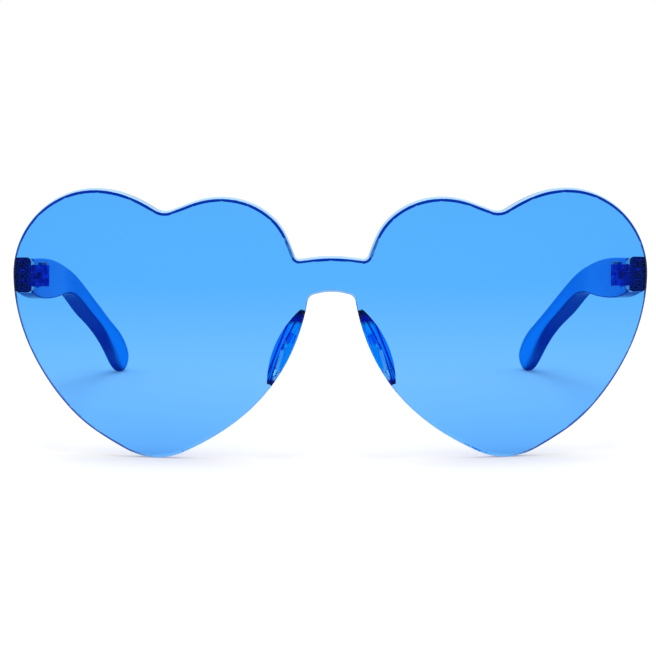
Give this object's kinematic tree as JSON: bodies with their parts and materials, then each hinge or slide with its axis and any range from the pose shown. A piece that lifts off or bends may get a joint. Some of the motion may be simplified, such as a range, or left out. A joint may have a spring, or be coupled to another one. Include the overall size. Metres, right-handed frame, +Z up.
{
  "type": "heart shaped sunglasses",
  "caption": "Sunglasses with a one-piece tinted clear sheet cut as joined hearts, nose pads and temples that fold on small screwed hinges.",
  "frame": {"origin": "middle of the footprint, on the table, with the temples open", "axes": "+Z up from the table, -Y out of the front of the lenses, +X to the right as seen from the front"},
  "size_m": [0.146, 0.1552, 0.0621],
  "materials": {
    "lens_plastic": "clear polycarbonate sheet tinted sky blue, polished",
    "temple_plastic": "cloudy polycarbonate tinted blue, polished",
    "pad_plastic": "clear polycarbonate tinted blue, polished",
    "hinge_metal": "nickel silver finished in the blue of the frame",
    "screw_metal": "turned, slotted head"
  },
  "bodies": {
    "front": {"lens_front": "lens_plastic", "end_block_left": "temple_plastic", "end_block_right": "temple_plastic", "nose_pad_left": "pad_plastic", "nose_pad_right": "pad_plastic", "hinge_front_leaf_left": "hinge_metal", "hinge_front_leaf_right": "hinge_metal", "hinge_screw_left": "screw_metal", "hinge_screw_right": "screw_metal"},
    "left_temple": {"temple_left": "temple_plastic", "hinge_temple_leaf_left": "hinge_metal"},
    "right_temple": {"temple_right": "temple_plastic", "hinge_temple_leaf_right": "hinge_metal"}
  },
  "joints": [
    {"name": "left_temple_fold", "type": "hinge", "parent": "front", "child": "left_temple", "pos_m": [-0.0664, -0.05554, 0.0407], "axis": [0, -0.1427, -0.9898], "range_deg": [0, 86]},
    {"name": "right_temple_fold", "type": "hinge", "parent": "front", "child": "right_temple", "pos_m": [0.0664, -0.05554, 0.0407], "axis": [0, 0.1427, 0.9898], "range_deg": [0, 75]}
  ]
}
